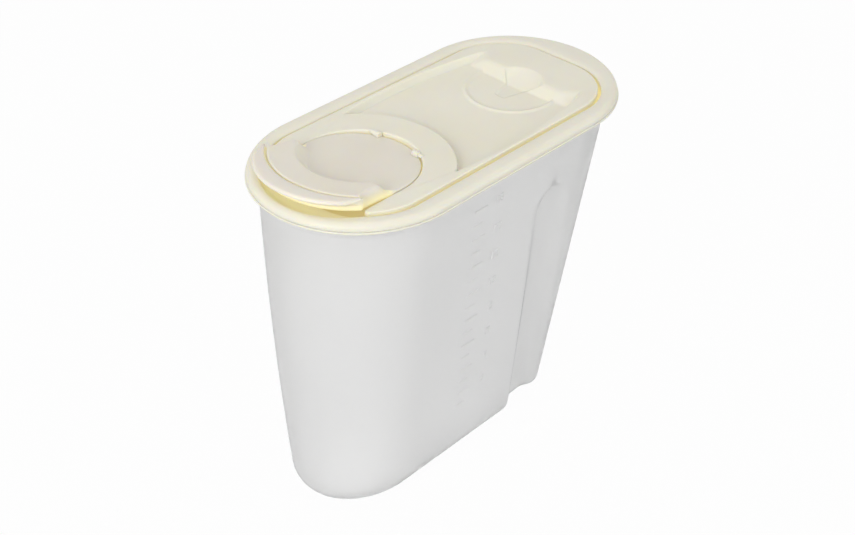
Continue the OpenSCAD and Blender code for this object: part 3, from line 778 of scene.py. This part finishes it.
def skinned(name, skin, light, shade, cloud_size, contrast, rough, bump):
    """Material with the uneven skin, and its shader: clouds between two tones, uneven gloss, fine bump.

    contrast is how far from the middle of the clouds' pattern the full tones lie, rough is the lowest and
    the highest roughness, and bump is a strength and a height in metres.
    """
    material = bpy.data.materials.new(name)
    material.use_nodes = True
    nodes, links = material.node_tree.nodes, material.node_tree.links
    surface = nodes["Principled BSDF"]
    group = nodes.new("ShaderNodeGroup")
    group.node_tree = skin
    group.inputs["Cloud Size"].default_value = cloud_size
    tone = nodes.new("ShaderNodeMapRange")
    tone.inputs["From Min"].default_value = 0.5 - contrast
    tone.inputs["From Max"].default_value = 0.5 + contrast
    links.new(group.outputs["Tone"], tone.inputs["Value"])
    colour = colour_mix(nodes, links, tone.outputs["Result"], light, shade)
    links.new(colour, surface.inputs["Base Color"])
    gloss = nodes.new("ShaderNodeMapRange")
    gloss.inputs["To Min"].default_value = rough[0]
    gloss.inputs["To Max"].default_value = rough[1]
    links.new(group.outputs["Tone"], gloss.inputs["Value"])
    links.new(gloss.outputs["Result"], surface.inputs["Roughness"])
    relief = nodes.new("ShaderNodeBump")
    relief.inputs["Strength"].default_value = bump[0]
    relief.inputs["Distance"].default_value = bump[1]
    links.new(group.outputs["Height"], relief.inputs["Height"])
    links.new(relief.outputs["Normal"], surface.inputs["Normal"])
    return material, surface


def plastic(name, skin, light, shade, in_gaps=True):
    """Cream moulded plastic: cloudy between two tones, satin, with light scattered below its skin.

    Deep in its gaps its colour is painted towards ochre, as painted shade, and it glows a little there:
    painted light for the light that such a thin wall lets through.
    Without gaps it glows evenly, painted light for the pieces inside.
    """
    material, surface = skinned(name, skin, light, shade, 25.0, 0.15, (0.37, 0.49), (0.12, 0.0004))
    nodes, links = material.node_tree.nodes, material.node_tree.links
    if in_gaps:
        # Painted shade and glow: the gap attribute mixes the colour towards ochre and adds emission deep in
        # gaps
        shade_share = nodes.new("ShaderNodeAttribute")
        shade_share.attribute_name = "gap"
        skin_colour = surface.inputs["Base Color"].links[0].from_socket
        colour = colour_mix(nodes, links, shade_share.outputs["Fac"], skin_colour, GAP_SHADE_OCHRE)
        links.new(colour, surface.inputs["Base Color"])
        glow = colour_mix(nodes, links, shade_share.outputs["Fac"], BLACK, PAINTED_GAP_GLOW)
        links.new(glow, surface.inputs["Emission Color"])
    else:
        # Painted light: an even glow on the pieces inside
        surface.inputs["Emission Color"].default_value = (*PAINTED_INSIDE_GLOW, 1.0)
    surface.inputs["Emission Strength"].default_value = 1.0
    surface.inputs["IOR"].default_value = 1.49
    surface.inputs["Subsurface Weight"].default_value = 0.5
    surface.inputs["Subsurface Radius"].default_value = (1.0, 0.75, 0.25)
    surface.inputs["Subsurface Scale"].default_value = 0.0025
    return material


def milky(name, skin, through):
    """Milky translucent plastic: part scattering, part rough see-through, with faint clouds and waviness."""
    material, surface = skinned(name, skin, MILK_LIGHT, MILK_SHADE, 14.0, 0.2, (0.38, 0.48), (0.1, 0.0005))
    surface.inputs["IOR"].default_value = 1.3
    surface.inputs["Transmission Weight"].default_value = through
    return material


def dress(obj, material):
    """Puts one material on a piece."""
    obj.data.materials.clear()
    obj.data.materials.append(material)


def white_ground():
    """Floor that looks white to the camera and in gloss, and still takes some of the object's shadow."""
    bpy.ops.mesh.primitive_plane_add(size=6.0)
    floor = bpy.context.object
    floor.name = "floor"
    material = bpy.data.materials.new("floor_white")
    material.use_nodes = True
    nodes, links = material.node_tree.nodes, material.node_tree.links
    surface = nodes["Principled BSDF"]
    surface.inputs["Base Color"].default_value = (FLOOR_GREY, FLOOR_GREY, FLOOR_GREY, 1)
    surface.inputs["Roughness"].default_value = 0.9
    glow = nodes.new("ShaderNodeEmission")
    glow.inputs["Strength"].default_value = 1.0
    path = nodes.new("ShaderNodeLightPath")
    seen = nodes.new("ShaderNodeMath")
    seen.operation = "MAXIMUM"
    links.new(path.outputs["Is Camera Ray"], seen.inputs[0])
    links.new(path.outputs["Is Glossy Ray"], seen.inputs[1])
    any_ray = nodes.new("ShaderNodeMath")
    any_ray.operation = "MAXIMUM"
    links.new(seen.outputs["Value"], any_ray.inputs[0])
    links.new(path.outputs["Is Transmission Ray"], any_ray.inputs[1])
    share = nodes.new("ShaderNodeMath")
    share.operation = "MULTIPLY"
    share.inputs[1].default_value = FLOOR_WHITE
    links.new(any_ray.outputs["Value"], share.inputs[0])
    mix = nodes.new("ShaderNodeMixShader")
    links.new(share.outputs["Value"], mix.inputs["Fac"])
    links.new(surface.outputs["BSDF"], mix.inputs[1])
    links.new(glow.outputs["Emission"], mix.inputs[2])
    links.new(mix.outputs["Shader"], nodes["Material Output"].inputs["Surface"])
    floor.data.materials.append(material)


def white_room():
    """World: white to the camera, an even soft light on the object."""
    world = bpy.data.worlds.new("studio")
    bpy.context.scene.world = world
    world.use_nodes = True
    nodes, links = world.node_tree.nodes, world.node_tree.links
    back = nodes["Background"]
    back.inputs["Color"].default_value = (1, 1, 1, 1)
    path = nodes.new("ShaderNodeLightPath")
    strength = nodes.new("ShaderNodeMapRange")
    links.new(path.outputs["Is Camera Ray"], strength.inputs["Value"])
    strength.inputs["To Min"].default_value = ROOM_LIGHT
    strength.inputs["To Max"].default_value = 1.0
    links.new(strength.outputs["Result"], back.inputs["Strength"])


def lamp(name, place, aim, size, power):
    """Square soft light at a place, turned to its aim."""
    data = bpy.data.lights.new(name, "AREA")
    data.size = size
    data.energy = power
    obj = bpy.data.objects.new(name, data)
    bpy.context.scene.collection.objects.link(obj)
    away = (np.array(place) - np.array(aim)).astype(float)
    away /= np.linalg.norm(away)
    side = np.cross([0, 0, 1], away)
    side /= np.linalg.norm(side)
    up = np.cross(away, side)
    turn = Matrix([[*t, 0] for t in (side, up, away)] + [[0, 0, 0, 1]]).transposed()
    obj.matrix_world = Matrix.Translation(place) @ turn


def camera():
    """Camera at the photograph's place, with its focal length in pixels made millimetres of sensor."""
    data = bpy.data.cameras.new("camera")
    data.sensor_fit = "HORIZONTAL"
    data.sensor_width = SENSOR
    data.lens = FOCAL_PX / PHOTO_WIDE * SENSOR
    data.clip_end = 20
    obj = bpy.data.objects.new("camera", data)
    bpy.context.scene.collection.objects.link(obj)
    back = LOOK_BACK / np.linalg.norm(LOOK_BACK)
    right = np.cross([0, 0, 1], back)
    right /= np.linalg.norm(right)
    up = np.cross(back, right)
    turn = Matrix([[*t, 0] for t in (right, up, back)] + [[0, 0, 0, 1]]).transposed()
    obj.matrix_world = Matrix.Translation(EYE) @ turn
    bpy.context.scene.camera = obj


camera()
white_room()
white_ground()
lamp("window_left", (-1.5, -0.35, 0.85), (0, 0, 0.15), 0.9, 14)
lamp("window_side", (0.7, -1.5, 0.6), (0, 0, 0.12), 1.0, 7)
lamp("window_top", (-0.1, 0.4, 1.6), (0, 0, 0.18), 1.2, 3)

skin = moulded_skin()
cream_lid = plastic("cream_lid", skin, LID_LIGHT, LID_SHADE)
cream_flap = plastic("cream_flap", skin, FLAP_LIGHT, FLAP_SHADE)
cream_lip = plastic("cream_lip", skin, LIP_LIGHT, LIP_SHADE)
inside_painted_shade = plastic("inside_painted_shade", skin, INSIDE_LIGHT, INSIDE_SHADE, in_gaps=False)
milky_shell = milky("milky_shell", skin, 0.7)
milky_marks = milky("milky_marks", skin, 0.3)

shell = container_shell()
dress(shell, milky_shell)
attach(shell, "container")
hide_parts("container_body", "container_rim")

edge = lid_edge()
dress(edge, cream_lid)
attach(edge, "lid")
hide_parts("lid_rim", "seal_channel")

panel = lid_top()
dress(panel, cream_lid)
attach(panel, "lid")
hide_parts("lid_panel", "finger_scoop")

cover = flap_cover()
dress(cover, cream_flap)
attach(cover, "flap")
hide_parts("flap_plate")

lip = flap_lip()
dress(lip, cream_lip)
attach(lip, "flap")
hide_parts("flap_lip")

# The pieces under the flap get ochre tones and an even glow: painted shade and painted light
for node in ("spout_pan", "flap_plug"):
    dress(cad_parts[node], inside_painted_shade)
dress(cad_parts["hinge_pins"], cream_lid)
dress(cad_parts["level_scale"], milky_marks)

bpy.context.scene.view_settings.view_transform = "Standard"
